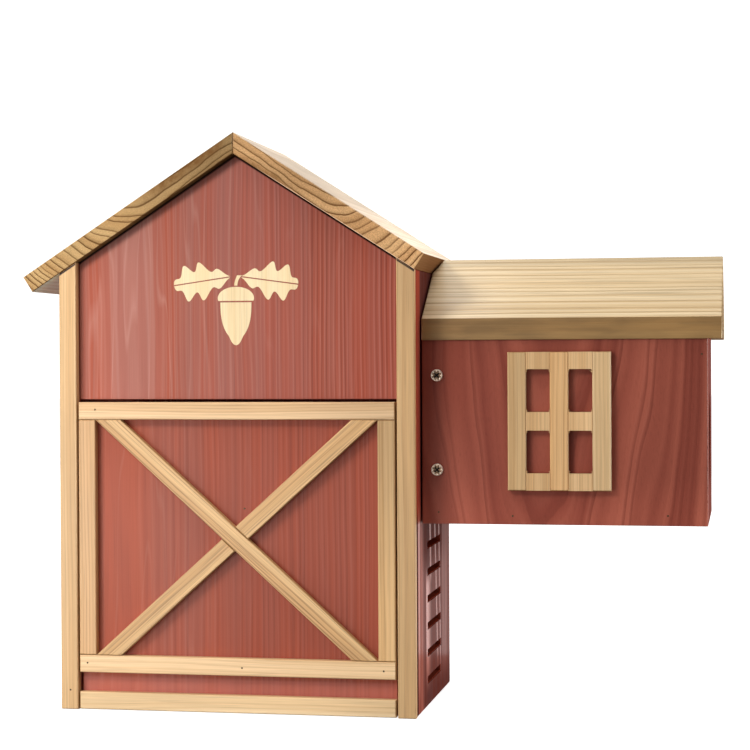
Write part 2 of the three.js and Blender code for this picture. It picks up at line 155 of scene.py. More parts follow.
# Noises in a board: times longer along the grain than across, seed step, detail and roughness
NOISES = {
    "fade": (9, 3, 1.0, 0.5), "vein": (16, 23, 1.0, 0.5), "fibre": (60, 11, 3.0, 0.6),
    "broad": (5, 17, 2.0, 0.5), "needle": (90, 31, 1.0, 0.5), "blotch": (5, 41, 3.0, 0.5),
    "speckle": (20, 37, 2.0, 0.5), "patch": (14, 29, 2.0, 0.5),
}
# The part of a noise's range that is spread out to the full one
SPREADS = {
    "fade": (0.3, 0.62), "fibre": (0.25, 0.75), "broad": (0.3, 0.7), "needle": (0.3, 0.42),
    "blotch": (0.35, 0.65), "speckle": (0.3, 0.7), "patch": (0.35, 0.65), "band": (0.38, 0.62),
}
WANDER_SEEDS = (("slow", 0), ("fine", 7))
FACING_END = (0.6, 0.7)
FACING_EDGE = (0.76, 0.84)
UNEVEN_RATE = 0.37
UNEVEN_SEED = 3.1
BAND_SEED = 5.3
VEIN_HALF = 0.02
VEIN_LEFT = 0.2
EDGE_THREAD = -0.7
UNDER_BLEND = 3
JOINT_SHARP = (0.5 * MM, 1.5 * MM)
FIBRE_ROUGH = 0.12
END_ROUGH = 0.2
WHITE = (1, 1, 1, 1)
HALF_SLAB = 7 * MM

# Strength of the late wood over one ring, from 0 to 1
SOFT_LINE = ((0.0, 0.3), (0.12, 0.0), (0.45, 0.0), (0.84, 1.0), (0.92, 1.0), (1.0, 0.3))
THIN_LINE = ((0.0, 0.3), (0.06, 0.0), (0.5, 0.0), (0.8, 0.75), (0.88, 1.0), (0.95, 1.0), (1.0, 0.3))
PALE_LINE = ((0.0, 0.0), (0.3, 0.0), (0.44, 1.0), (0.52, 1.0), (0.66, 0.0), (1.0, 0.0))
RIB_LINE = ((0.0, 0.2), (0.1, 0.0), (0.6, 0.0), (0.8, 1.0), (0.92, 1.0), (1.0, 0.2))
END_LINE = (
    (0.0, 0.4), (0.04, 0.0), (0.5, 0.0), (0.8, 0.35), (0.86, 0.9), (0.92, 1.0), (0.98, 1.0), (1.0, 0.4),
)


class Board(Graph):
    """Solid wood of one board: growth rings round a heart line, drawn out along the grain, and stain."""

    def __init__(self, name, start, look, axes, seed):
        super().__init__(name)
        self.look = look
        self.seed = seed
        coordinates = self.node("ShaderNodeTexCoord").outputs
        self.place = coordinates["Object"]
        self.normal = coordinates["Normal"]
        feeds = {"Vector": self.place, "Location": start, "Rotation": axes.to_euler(), "Scale": (1, 1, 1)}
        self.local = self.node("ShaderNodeMapping", feeds, vector_type="TEXTURE").outputs["Vector"]
        self.own = self.node("ShaderNodeSeparateXYZ", {0: self.local}).outputs
        self.edge = self.facing(axes.col[0], FACING_EDGE)
        self.end = self.facing(axes.col[2], FACING_END)
        self.plain = self.math("SUBTRACT", 1.0, self.math("MAXIMUM", self.end, self.edge))
        self.fibre = self.board_noise("fibre")

    def facing(self, direction, limits):
        """1 on the sides that look along a direction, either way."""
        share = self.math("ABSOLUTE", self.vector("DOT_PRODUCT", self.normal, tuple(direction)))
        return self.between(share, *limits)

    def board_noise(self, kind, place=None):
        along, step, detail, roughness = NOISES[kind]
        size = self.look[f"{kind}_size"] * MM
        place = self.local if place is None else place
        return self.noise(place, size, along, self.seed + step, detail, roughness)

    def spread(self, kind, low, high):
        """A noise of the board, spread out from low to high."""
        return self.between(self.board_noise(kind), *SPREADS[kind], low, high)

    def outward(self, near, far):
        """A value that goes from near to far over the look's reach from the heart line."""
        begin, stop = self.look["reach"]
        return self.between(self.field, begin * MM, stop * MM, near, far)

    def window(self, direction, rise, full, fall, gone):
        """1 between full and fall along a direction of the row frame, and 0 before rise and past gone."""
        reach = self.vector("DOT_PRODUCT", self.place, tuple(direction))
        start = self.between(reach, rise * MM, full * MM, 0.0, 1.0, smooth=True)
        stop = self.between(reach, fall * MM, gone * MM, 1.0, 0.0, smooth=True)
        return self.times(start, stop)

    def wander(self):
        """The place in the board, moved by the slow and the fine wander of the rings."""
        moved = self.local
        for kind, step in WANDER_SEEDS:
            size, along, reach = (self.look[f"{kind}_{word}"] for word in ("size", "along", "move"))
            drift = self.noise(self.local, size * MM, along, self.seed + step, 1.0, output="Color")
            drift = self.vector("ADD", drift, (-0.5, -0.5, -0.5))
            drift = self.vector("MULTIPLY", drift, (reach * MM, reach * MM, 0))
            moved = self.vector("ADD", moved, drift)
        return moved

    def distance(self, bend, fan):
        """How far the wandered place lies from the heart line."""
        if bend is None:
            return self.vector("LENGTH", self.vector("MULTIPLY", self.wandered, (1, 1, 0)))
        turn, above, flat = bend
        split = self.node("ShaderNodeSeparateXYZ", {0: self.wandered}).outputs
        past = self.math("SUBTRACT", split["X"], turn * MM)
        past = self.math("MAXIMUM", self.times(past, flat), self.times(past, -1.0))
        deep = self.math("SUBTRACT", HALF_SLAB, split["Y"])
        if fan:
            begin, stop, more = fan
            spread = self.between(split["X"], begin * MM, stop * MM, 1.0, 1 + more, smooth=True)
            deep = self.times(deep, spread)
        deep = self.math("ADD", deep, above * MM)
        return self.math("SQRT", self.math("MULTIPLY_ADD", past, past, self.times(deep, deep)))

    def grow(self, spacing, bend, fan, crowd):
        """Rings of uneven width and strength, and the lines that their late wood makes."""
        look = self.look
        self.wandered = self.wander()
        self.field = self.distance(bend, fan)
        count = self.math("DIVIDE", self.field, spacing * MM)
        if crowd:
            radius, more = crowd
            outer = self.math("MAXIMUM", self.math("SUBTRACT", self.field, radius * MM), 0.0)
            count = self.math("MULTIPLY_ADD", outer, more / MM, count)
        uneven = self.noise_line(count, UNEVEN_RATE, self.seed * UNEVEN_SEED)
        self.count = self.math("MULTIPLY_ADD", uneven, look["uneven"], count)
        ring = self.math("ADD", self.math("FLOOR", self.count), self.seed)
        strength = self.node("ShaderNodeTexWhiteNoise", {"W": ring}, noise_dimensions="1D").outputs["Value"]
        strength = self.between(strength, 0.0, 1.0, look["weakest"], 1.0)
        self.strength = self.times(strength, self.spread("fade", look["fade"], 1.0))
        self.along_ring = self.math("FRACT", self.count)
        late = self.times(self.ramp(self.along_ring, look["ring"], "EASE"), self.strength)
        self.late = self.times(late, self.between(self.edge, 0.0, 1.0, 1.0, look["edge_line"]))

    def stain(self):
        """Tones of the faces, the end grain and the sawn edges, with soft bands a few rings wide."""
        look = self.look
        band = self.noise_line(self.count, look["band_rate"], self.seed * BAND_SEED)
        band = self.between(band, *SPREADS["band"], smooth=True)
        band = self.times(band, self.outward(1.0, look["band_left"]))
        line = self.mix(self.outward(0.0, 1.0), look["late_near"], look["late"])
        face = self.mix(band, look["early"], look["second"])
        face = self.mix(self.times(self.late, look["line"]), face, line)
        face = self.tinted(face, self.mix(self.outward(0.0, 1.0), WHITE, look["far_tone"]))
        if look["pale_line"]:
            pale = self.times(self.ramp(self.along_ring, PALE_LINE), self.strength)
            face = self.mix(self.times(pale, look["pale_line"]), face, look["vein_color"])
        if look["vein"]:
            beside = self.math("SUBTRACT", self.board_noise("vein", self.wandered), 0.5)
            vein = self.between(self.math("ABSOLUTE", beside), 0.0, VEIN_HALF, look["vein"], 0.0)
            vein = self.times(vein, self.outward(1.0, VEIN_LEFT))
            face = self.mix(vein, face, look["vein_color"])
        end = self.mix(band, look["end_early"], look["end_second"])
        end = self.mix(self.times(self.late, look["end_line"]), end, look["end_late"])
        color = self.mix(self.end, face, end)
        self.color = self.mix(self.edge, color, self.tinted(color, look["edge"]))

    def shade(self, shades, tint):
        """Fibres, broad tone, the board's shades and its tint."""
        look = self.look
        tone = self.spread("broad", 1 - look["tone"], 1 + look["tone"])
        thread = self.between(self.fibre, *SPREADS["fibre"], 1 - look["streak"], 1 + look["streak"])
        thread = self.times(thread, self.spread("needle", 1 - look["needle"], 1.0))
        if look["blotch"]:
            blotch = self.spread("blotch", 1 - look["blotch"], 1 + look["blotch"] / 2)
            tone = self.times(tone, self.math("POWER", blotch, self.edge))
            thread = self.math("POWER", thread, self.math("MULTIPLY_ADD", self.edge, EDGE_THREAD, 1.0))
        tone = self.times(tone, thread)
        if look["speckle"]:
            grit = self.spread("speckle", 1 - look["speckle"], 1 + look["speckle"])
            tone = self.times(tone, self.math("POWER", grit, self.end))
        for axis, begin, stop, share in shades:
            slide = self.between(self.own[axis], begin * MM, stop * MM, 1.0, share, smooth=True)
            tone = self.times(tone, slide)
        self.color = self.tinted(self.tinted(self.color, self.grey(tone)), (*tint, 1))

    def lay(self, veils):
        """Lacquer on the faces, and the veils over it, which hold tones of their own and also painted shade
        and painted sheen.
        """
        patch = self.board_noise("patch")
        self.coat = self.times(self.plain, self.look["coat"])
        for entry in veils:
            share = self.between(patch, *SPREADS["patch"], 1 - entry["patchy"], 1.0)
            for limits in entry["windows"]:
                share = self.times(self.window(*limits), share)
            if entry["where"] != "any":
                share = self.times(share, self.end if entry["where"] == "end" else self.plain)
            self.color = self.mix(self.times(share, entry["share"]), self.color, entry["color"])
            self.coat = self.math("MULTIPLY_ADD", share, entry["coat"], self.coat, clamp=True)

    def tint_under(self, eave, inner, change):
        """Tints of the underside at the eave and inside, the dark ones painted shade; it has no lacquer past
        the change.
        """
        downward = self.between(self.vector("DOT_PRODUCT", self.normal, (0, 0, -1)), *FACING_END)
        inward = self.between(self.own["X"], change * MM, (change + UNDER_BLEND) * MM)
        tint = self.mix(inward, (*eave, 1), (*inner, 1))
        self.color = self.mix(downward, self.color, self.tinted(self.color, tint))
        bare = self.times(inward, -1.0)
        self.coat = self.times(self.coat, self.math("MULTIPLY_ADD", downward, bare, 1.0))

    def surface(self, joined):
        """The material, with the relief of rings and fibres, eased edges and gloss."""
        look = self.look
        height = self.math("MULTIPLY_ADD", self.late, look["ridge"], self.times(self.fibre, look["fuzz"]))
        radius = look["ease"] * MM
        if joined is not None:
            gap = self.math("ABSOLUTE", self.vector("DOT_PRODUCT", self.place, tuple(joined)))
            radius = self.between(gap, *JOINT_SHARP, 0.0, radius)
        eased = self.node("ShaderNodeBevel", {"Radius": radius}, samples=4).outputs["Normal"]
        feeds = {"Height": height, "Distance": 1 * MM, "Strength": 1.0, "Normal": eased}
        bump = self.node("ShaderNodeBump", feeds).outputs["Normal"]
        rough = self.math("MULTIPLY_ADD", self.late, look["late_gloss"], look["rough"])
        rough = self.math("MULTIPLY_ADD", self.math("SUBTRACT", self.fibre, 0.5), FIBRE_ROUGH, rough)
        rough = self.math("MULTIPLY_ADD", self.end, END_ROUGH, rough)
        return self.finish(
            self.color, rough, bump, self.coat,
            Coat_Roughness=look["coat_rough"], Specular_IOR_Level=look["shine"],
        )


def veil(color, share, *windows, coat=0.0, patchy=0.0, where="face"):
    """A place on a board, inside all of its windows, with a tone of its own, painted shade or painted sheen,
    and more or less lacquer.

    A window is a direction of the row frame and four places along it in mm: where the veil begins, where it
    is full, where it starts to fade and where it is gone. where is face, end or any side. patchy is how
    much of the veil breaks up.
    """
    return dict(color=color, share=share, windows=windows, coat=coat, patchy=patchy, where=where)


def wood(
    name, start, look, axes, spacing, seed, bend=None, fan=None, crowd=None, tint=(1, 1, 1), shades=(),
    under=None, veils=(), joined=None,
):
    """Solid wood round a heart line through start.

    axes is the board's own frame: across, through, along the grain.
    spacing is the width of a ring in mm.
    bend makes the rings run flat past a heart above the slab: (place of the heart along the slab in mm, its
    height above the slab's middle in mm, how much they still bend past it).
    fan spreads them towards the board's far end: (from mm, to mm, more per mm of depth).
    crowd brings the outer rings closer: (radius in mm, more rings per mm past it).
    tint is the board's own share of red, green and blue.
    shades change the tone along one of its own axes: (axis, from mm, to mm, share left at the end).
    under is the tint of its underside at the eave and inside, the dark ones painted shade, and the mm where
    it changes.
    veils are places with another tone, painted shade, painted sheen or more lacquer, as veil() gives them.
    joined is the direction across a joint through the row frame's origin, where the edges stay sharp.
    """
    board = Board(name, start, look, axes, seed)
    board.grow(spacing, bend, fan, crowd)
    board.stain()
    board.shade(shades, tint)
    board.lay(veils)
    if under:
        board.tint_under(*under)
    return board.surface(joined)


def face_tones(early, second, late, near=None):
    """Tones of a face: early wood, its bands, and late wood far from and near to the heart line."""
    near = near or late
    return {"early": srgb(*early), "second": srgb(*second), "late": srgb(*late), "late_near": srgb(*near)}


def end_tones(early, second, late):
    """Tones of the end grain: early wood, its bands and late wood."""
    return {"end_early": srgb(*early), "end_second": srgb(*second), "end_late": srgb(*late)}


# Sizes and reaches in mm, the rest as shares. along is times longer with the grain than across it.
BASE_LOOK = {
    "slow_size": 45, "slow_along": 7, "slow_move": 9,
    "fine_size": 9, "fine_along": 9, "fine_move": 0.9,
    "ring": SOFT_LINE, "line": 0.6, "uneven": 1.4, "weakest": 0.35, "fade": 0.5, "fade_size": 30,
    "reach": (0, 1), "far_tone": WHITE, "band_rate": 0.31, "band_left": 1.0,
    "edge": srgb(235, 228, 220), "edge_line": 1.0, "end_line": 0.8,
    "vein": 0, "vein_size": 16, "vein_color": WHITE, "pale_line": 0.0,
    "streak": 0.05, "fibre_size": 0.9, "tone": 0.05, "broad_size": 50,
    "needle": 0.0, "needle_size": 0.6, "speckle": 0.0, "speckle_size": 0.8, "blotch": 0.0, "blotch_size": 8,
    "ridge": 0.05, "fuzz": 0.05, "ease": 0.8, "rough": 0.5, "late_gloss": -0.08, "shine": 0.4,
    "coat": 0.15, "coat_rough": 0.3, "patch_size": 5,
}

NATURAL = dict(
    BASE_LOOK, **face_tones((228, 192, 146), (217, 178, 130), (180, 134, 84)),
    **end_tones((200, 160, 112), (190, 150, 102), (160, 115, 70)),
    ring=THIN_LINE, streak=0.1, tone=0.07, needle=0.14,
)
PALE = dict(NATURAL, line=0.3, ease=0.1)
PALE.update(face_tones((240, 216, 172), (236, 208, 160), (218, 184, 132)))
WINDOW = dict(NATURAL, line=0.55, ease=0.06, streak=0.12, tone=0.08)
# Natural wood with its sides painted lighter: painted light
SUNNY_EDGE = dict(NATURAL, edge=(1.35, 1.3, 1.25, 1))
STRIPED = dict(NATURAL, line=0.8, weakest=0.3, fade=0.8, streak=0.16, needle=0.28, uneven=2.2)
STRIPED.update(face_tones((236, 203, 157), (217, 178, 130), (142, 94, 50)))

ROOF = dict(
    BASE_LOOK, **face_tones((230, 211, 178), (222, 200, 164), (190, 158, 114)),
    **end_tones((198, 158, 106), (184, 142, 92), (84, 46, 16)),
    ring=END_LINE, line=0.5, end_line=1.0, edge=srgb(149, 118, 91), weakest=0.6, fade=0.9,
    slow_move=6, slow_size=38, fine_move=1.4, ridge=0.1, tone=0.12, coat=0.3, ease=0.15,
    streak=0.12, speckle=0.22, needle=0.12, shine=0.0,
)

ANNEX_ROOF = dict(
    BASE_LOOK, **face_tones((232, 208, 170), (224, 197, 156), (196, 164, 120)),
    **end_tones((190, 158, 112), (180, 146, 100), (120, 88, 55)),
    ring=RIB_LINE, line=1.0, edge=srgb(157, 133, 92), edge_line=0.15, blotch=0.2,
    ridge=0.5, weakest=0.3, slow_move=5, uneven=1.5, streak=0.14, needle=0.24, fibre_size=1.2,
    needle_size=1.0, pale_line=0.35, vein_color=srgb(250, 238, 212),
)

RED = dict(
    BASE_LOOK, **face_tones((170, 80, 60), (163, 92, 79), (108, 44, 35), near=(186, 120, 106)),
    **end_tones((120, 52, 42), (112, 48, 38), (90, 36, 28)),
    ring=THIN_LINE, pale_line=0.28, needle=0.08, needle_size=0.9, edge=srgb(235, 225, 222),
    coat=0.1, rough=0.42, shine=0.12, reach=(40, 125), band_left=0.4, fine_move=1.2,
    far_tone=srgb(246, 238, 236), vein=0.3, vein_color=srgb(200, 138, 124),
)

ANNEX_RED = dict(
    RED, vein=0, far_tone=WHITE, slow_move=20, slow_along=4.0, weakest=0.1, reach=(40, 150),
    band_left=0.9, pale_line=0.1, vein_color=srgb(178, 98, 82),
)
ANNEX_RED.update(face_tones((160, 78, 62), (130, 56, 44), (104, 42, 33), near=(112, 46, 36)))

DOOR_RED = dict(RED, vein=0.12, weakest=0.4, fade=0.6, line=0.37, pale_line=0.1, ring=SOFT_LINE)
DOOR_RED.update(face_tones((172, 80, 59), (160, 84, 70), (108, 44, 35), near=(124, 54, 43)))

SATIN_RED = dict(
    RED, coat=0.03, coat_rough=0.22, rough=0.55, shine=0.0, vein=0.35, vein_size=4, reach=(40, 260),
    band_left=0.6, vein_color=srgb(196, 140, 130), edge=srgb(120, 100, 96),
)
SATIN_RED.update(end_tones((60, 24, 16), (60, 24, 16), (44, 16, 10)))
MATT_RED = dict(ANNEX_RED, coat=0.0, rough=0.7, shine=0.1)

INNER = dict(
    BASE_LOOK, **face_tones((205, 170, 124), (198, 160, 112), (170, 128, 80)),
    **end_tones((180, 140, 95), (172, 132, 88), (140, 100, 60)),
    coat=0.0, rough=0.65,
)


def dress(name, look, grain, across, heart, spacing, seed, origin=None, **more):
    """Gives a node of the frame its own board of wood.

    heart is where the heart line lies, in mm across and through, from the board's centre or from origin.
    """
    low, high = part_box(name)
    axes = board_axes(grain, across)
    start = origin or (low + high) / 2
    start = start + axes @ Vector((heart[0] * MM, heart[1] * MM, 0))
    material = wood(f"{name}_wood", start, look, axes, spacing, seed, **more)
    mesh = nodes[name].data
    mesh.materials.clear()
    mesh.materials.append(material)


# Places on the boards with a tone of their own, and painted shade: dark lines of painted shadow under the
# roof, where it meets the gable and the corner strips
OPEN_START = (-500, -499)
OPEN_END = (900, 901)
ROOF_RISE = 91.7
HALF_WIDTH = 142.5
SLOPE = math.atan2(ROOF_RISE, HALF_WIDTH)
UNDER_RIGHT = Vector((math.sin(SLOPE), 0, math.cos(SLOPE)))
UNDER_LEFT = Vector((-math.sin(SLOPE), 0, math.cos(SLOPE)))
# Colour of painted shade, and the painted shadow in the seams under the right and left roof slabs
SEAM_SHADE = srgb(36, 9, 2)
SEAM_SHADE_REACH = (364.9, 365.9, *OPEN_END)
RIGHT_SEAM_SHADE = veil(SEAM_SHADE, 1.0, (UNDER_RIGHT, *SEAM_SHADE_REACH), coat=-1.0)
LEFT_SEAM_SHADE = veil(SEAM_SHADE, 1.0, (UNDER_LEFT, *SEAM_SHADE_REACH), coat=-1.0)
GABLE_VEILS = (
    veil(srgb(170, 124, 121), 0.09, (X, -50, -10, 45, 75)),
    veil(srgb(153, 52, 36), 0.12, (X, 70, 100, *OPEN_END)),
    # painted shadow of the left roof slab on the gable, below its seam
    veil(SEAM_SHADE, 0.5, (UNDER_LEFT, 358, 364.5, *OPEN_END)),
    LEFT_SEAM_SHADE,
    RIGHT_SEAM_SHADE,
)

# Axes of a board for its shades, and seeds of the groups of boards
ACROSS = 0
ALONG = 2
NEXT_SEED = 3.7
UPRIGHT_SEED = 0
LEVEL_SEED = 51
BRACE_SEED = 71
RED_SEED = 91

# Upright strips: look, heart line, ring spacing, tint, shades and veils
for index, (name, look, heart, spacing, tint, shades, veils) in enumerate((
    ("left_corner_trim", NATURAL, (-60, 20), 2.8, (0.93, 0.88, 0.79), (), (LEFT_SEAM_SHADE,)),
    (
        "right_corner_trim", SUNNY_EDGE, (35, 12), 5.2, (0.78, 0.72, 0.61),
        ((ALONG, 60, 170, 0.9),), (RIGHT_SEAM_SHADE,),
    ),
    ("door_left_stile", NATURAL, (50, 30), 2.6, (0.9, 0.81, 0.73), (), ()),
    ("door_right_stile", NATURAL, (-45, 25), 2.4, (0.98, 0.9, 0.74), ((ALONG, -70, 90, 0.67),), ()),
    ("window_left_stile", WINDOW, (-40, 30), 2.2, (0.78, 0.74, 0.64), (), ()),
    ("window_mullion", WINDOW, (30, 40), 2.2, (0.9, 0.8, 0.66), (), ()),
    ("window_right_stile", WINDOW, (-50, 20), 2.2, (0.9, 0.92, 0.9), (), ()),
    ("window_lower_rail_left", WINDOW, (-40, 30), 1.8, (0.88, 0.82, 0.72), (), ()),
    ("window_middle_rail_left", WINDOW, (30, 40), 1.8, (0.86, 0.8, 0.7), (), ()),
    ("window_upper_rail_left", WINDOW, (-50, 20), 1.7, (0.86, 0.8, 0.7), (), ()),
    ("window_lower_rail_right", WINDOW, (40, 30), 1.8, (0.96, 0.92, 0.85), (), ()),
    ("window_middle_rail_right", WINDOW, (-30, 40), 1.8, (0.96, 0.92, 0.85), (), ()),
    ("window_upper_rail_right", WINDOW, (50, 20), 1.7, (0.94, 0.9, 0.82), (), ()),
)):
    seed = UPRIGHT_SEED + index * NEXT_SEED
    dress(name, look, Z, X, heart, spacing, seed, tint=tint, shades=shades, veils=veils)

# Level strips: heart line, ring spacing, tint and shades
for index, (name, heart, spacing, tint, shades) in enumerate((
    ("door_top_rail", (-50, 30), 2.7, (1.06, 1.04, 1.04), ((ALONG, 20, 125, 0.8),)),
    ("door_lower_rail", (40, 35), 2.9, (1.1, 1.1, 1.1), ()),
    ("door_base_rail", (-30, 45), 2.8, (1.17, 1.24, 1.29), ((ALONG, 60, 140, 0.85),)),
)):
    dress(name, NATURAL, X, Z, heart, spacing, LEVEL_SEED + index * NEXT_SEED, tint=tint, shades=shades)

# Braces, with the grain along them
BRACE_SPAN = 250
BRACE_RISE = 218
for index, (name, rise) in enumerate((
    ("door_brace_long", -BRACE_RISE),
    ("door_brace_upper", BRACE_RISE),
    ("door_brace_lower", BRACE_RISE),
)):
    grain = Vector((BRACE_SPAN, 0, rise))
    dress(name, STRIPED, grain, Z, (42, 40), 2.7, BRACE_SEED + index * NEXT_SEED, tint=(0.88, 0.79, 0.65))

# Veils of the red boards. The right wall's first one takes its slots and its inner side; its others are
# painted light on the one board: painted light above the annex floor, painted shade by the front edge, and
# painted sheen and highlight in strips and streaks.
BELOW_ANNEX = (Z, *OPEN_START, 150, 165)
EDGE_STRIP = (Y, -76, -73, -69, -63)
LEAN = Y + Z * 0.06
STEEP_LEAN = Y + Z * 0.12
PAINTED_SHEEN = srgb(206, 112, 90)
RIGHT_VEILS = (
    veil(srgb(150, 64, 46), 0.9, (X, *OPEN_START, 142.1, 142.3), where="any"),
    # painted light above the annex floor
    veil(srgb(196, 82, 60), 0.6, (Y, *OPEN_START, -64, -60), (Z, 146, 160, *OPEN_END)),
    # painted sheen low on the wall
    veil(PAINTED_SHEEN, 0.1, (Y, -60, -59, 70, 71), (Z, 5, 35, 100, 128), coat=0.09, patchy=0.3),
    # painted shade by the front edge
    veil(SEAM_SHADE, 0.45, (Y, *OPEN_START, -77.5, -74), BELOW_ANNEX),
    # painted highlight and sheen along the front strip, then streaks of painted sheen past the slots
    veil(PAINTED_SHEEN, 0.4, EDGE_STRIP, BELOW_ANNEX),
    veil(PAINTED_SHEEN, 0.6, EDGE_STRIP, (Z, 5, 30, 150, 165), coat=0.38),
    veil(PAINTED_SHEEN, 0.5, (Y, -66, -62, -58, -44), BELOW_ANNEX, coat=0.1, patchy=0.2),
    veil(PAINTED_SHEEN, 0.85, (Y, -37.5, -35.5, -31, -10), (Z, 8, 40, 92, 112), coat=0.5, patchy=0.1),
    veil(PAINTED_SHEEN, 0.5, (LEAN, -12, -9, -5.5, -2), (Z, 94, 108, 170, 180), coat=0.3, patchy=0.1),
    veil(PAINTED_SHEEN, 0.5, (STEEP_LEAN, 21.5, 24, 27, 29.5), (Z, 15, 40, 170, 180), coat=0.34, patchy=0.3),
    veil(PAINTED_SHEEN, 0.5, (LEAN, 35, 37, 39.5, 41.5), (Z, 8, 30, 170, 180), coat=0.34, patchy=0.3),
    veil(PAINTED_SHEEN, 0.2, (Y, 45, 46.5, *OPEN_END), (Z, 4, 30, 150, 165), coat=0.12, patchy=0.5),
)
# Painted light and sheen low on the door panel's front, under its lower rail
LOW_PAINTED_LIGHT = veil(
    srgb(205, 120, 106), 0.4, (Z, *OPEN_START, 24, 27), (Y, *OPEN_START, -78, -76), coat=0.1, patchy=0.2,
)
SHADED_END = veil(srgb(112, 34, 16), 0.45, (X, *OPEN_START, 158, 196), (Z, 160, 270, *OPEN_END))

# Red boards: look, grain, direction across, heart line, ring spacing, tint, shades and veils
LEANING_HEART = Z - Y * 0.17
for index, (name, look, grain, across, heart, spacing, tint, shades, veils) in enumerate((
    # The gable panel is darker towards the top, painted shade under the roof, and darker towards the right
    (
        "gable_panel", RED, Z, X, (-85, 40), 3.5, (1.06, 1.26, 1.28),
        ((ALONG, -30, 70, 0.86), (ACROSS, -60, 90, 0.88)), GABLE_VEILS,
    ),
    ("back_wall", RED, Z, X, (60, -50), 4.6, (1, 1, 1), (), ()),
    (
        "door_panel", DOOR_RED, Z, X, (-95, 45), 4.2, (1.05, 1.2, 1.15),
        ((ACROSS, -40, 110, 0.86),), (LOW_PAINTED_LIGHT,),
    ),
    ("left_wall", RED, Z, Y, (20, 60), 4.8, (1, 1, 1), (), ()),
    ("right_wall", SATIN_RED, Z, Y, (-60, 50), 4.8, (0.36, 0.36, 0.4), (), RIGHT_VEILS),
    (
        "annex_front_wall", ANNEX_RED, LEANING_HEART, X, (-15, 42), 5.5, (0.97, 1.15, 1.12),
        ((ALONG, 45, 75, 0.85), (ALONG, -30, -75, 1.22), (ACROSS, -60, -80, 0.9)), (SHADED_END,),
    ),
    ("annex_back_wall", ANNEX_RED, Z, X, (40, -45), 6, (0.9, 0.9, 0.83), (), ()),
    ("annex_end_wall", MATT_RED, Z, Y, (10, 60), 6, (0.9, 0.9, 0.83), (), ()),
)):
    seed = RED_SEED + index * NEXT_SEED
    dress(name, look, grain, across, heart, spacing, seed, tint=tint, shades=shades, veils=veils)

# Roof boards: heart lines above the slab, darker and lighter places on the end grain, and a painted highlight
# and painted shade on the lower lips
LEFT_EAVE = Vector((-164.8, 0, 330.6)) * MM
RIGHT_EAVE = Vector((142.5, 0, 345)) * MM
# Painted shade on the roof's underside between the slab and the gable
SHADED_UNDER = (0.26, 0.17, 0.1)
UNDER_CHANGE = 26
LOWER_LIP = (*OPEN_START, 367.5, 367.9)
SCORCH = srgb(112, 76, 42)
dress(
    "roof_left", ROOF, -Y, Vector((math.cos(SLOPE), 0, math.sin(SLOPE))), heart=(0, 0), origin=LEFT_EAVE,
    spacing=6.4, seed=131, bend=(120, 33, 0.16), crowd=(98, 0.1), fan=(110, 170, 0.6),
    tint=(0.93, 0.98, 1.03), shades=((ACROSS, 85, 175, 0.58),),
    under=((1.25, 1.6, 1.85), SHADED_UNDER, UNDER_CHANGE), joined=X,
    veils=(
        veil(SCORCH, 0.9, (UNDER_LEFT, 372, 378, *OPEN_END), (X, -80, -55, -12, -5), patchy=0.5, where="end"),
        # painted shade on the left slab's lower lip
        veil(srgb(92, 58, 28), 0.8, (UNDER_LEFT, *LOWER_LIP), (X, *OPEN_START, -4, 0), where="end"),
    ),
)
dress(
    "roof_right", ROOF, Y, Vector((-math.cos(SLOPE), 0, math.sin(SLOPE))), heart=(0, 0), origin=RIGHT_EAVE,
    spacing=6.8, seed=137, bend=(90, 28, 0.2), crowd=(78, 0.05), fan=(80, 140, 0.8),
    tint=(1.2, 1.17, 1.28), shades=((ACROSS, 20, 90, 0.74),),
    under=(SHADED_UNDER, SHADED_UNDER, UNDER_CHANGE), joined=X,
    veils=(
        veil(SCORCH, 0.7, (UNDER_RIGHT, 366, 367, 369, 374), (X, 4, 16, 40, 60), patchy=0.6, where="end"),
        # painted highlight on the right slab's lower lip
        veil(srgb(255, 214, 176), 0.8, (UNDER_RIGHT, *LOWER_LIP), (X, 14, 40, *OPEN_END), where="end"),
    ),
)

# Annex roof boards, with a painted highlight along the eave, a dark band at the ridge, and darker towards the
# house
ANNEX_RISE = 48.3
ANNEX_HALF_DEPTH = 73.5
ANNEX_SLOPE = math.atan2(ANNEX_RISE, ANNEX_HALF_DEPTH)
for name, side, seed in (("annex_roof_front", 1, 141), ("annex_roof_back", -1, 147)):
    up_slope = Vector((0, side * math.cos(ANNEX_SLOPE), math.sin(ANNEX_SLOPE)))
    low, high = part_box(name)
    reach = (high.y - low.y) / math.cos(ANNEX_SLOPE) / 2 / MM
    shades = (
        (ALONG, 110, -110, 0.88),
        # painted highlight along the eave
        (ACROSS, 132 - reach, 125 - reach, 1.1),
        (ACROSS, 112 + reach, 116 + reach, 0.82),
    )
    heart = (-120, side * -80)
    dress(name, ANNEX_ROOF, X, up_slope, heart, 5.6, seed, tint=(0.96, 0.93, 0.86), shades=shades)

# Plain boards inside
for name, grain, across, heart, seed in (
    ("floor", X, Y, (0, -40), 151),
    ("annex_floor", X, Y, (0, -40), 157),
    ("annex_cleat_front", Z, X, (30, -40), 161),
    ("annex_cleat_back", Z, X, (30, -40), 167),
):
    dress(name, INNER, grain, across, heart, 3.0, seed)


CLOUD_SPREAD = (0.3, 0.7)
PLATE_ROUGH = (0.25, 0.45)


def plated(name, color):
    """Yellow zinc: a warm metal with faint mottling."""
    g = Graph(name)
    place = g.node("ShaderNodeTexCoord").outputs["Object"]
    cloud = g.noise(place, size=1.2 * MM, along=1, seed=3.0, detail=3.0)
    color = g.tinted(color, g.grey(g.between(cloud, *CLOUD_SPREAD, out_low=0.78, out_high=1.12)))
    return g.finish(color, g.between(cloud, *CLOUD_SPREAD, *PLATE_ROUGH), Metallic=1.0)


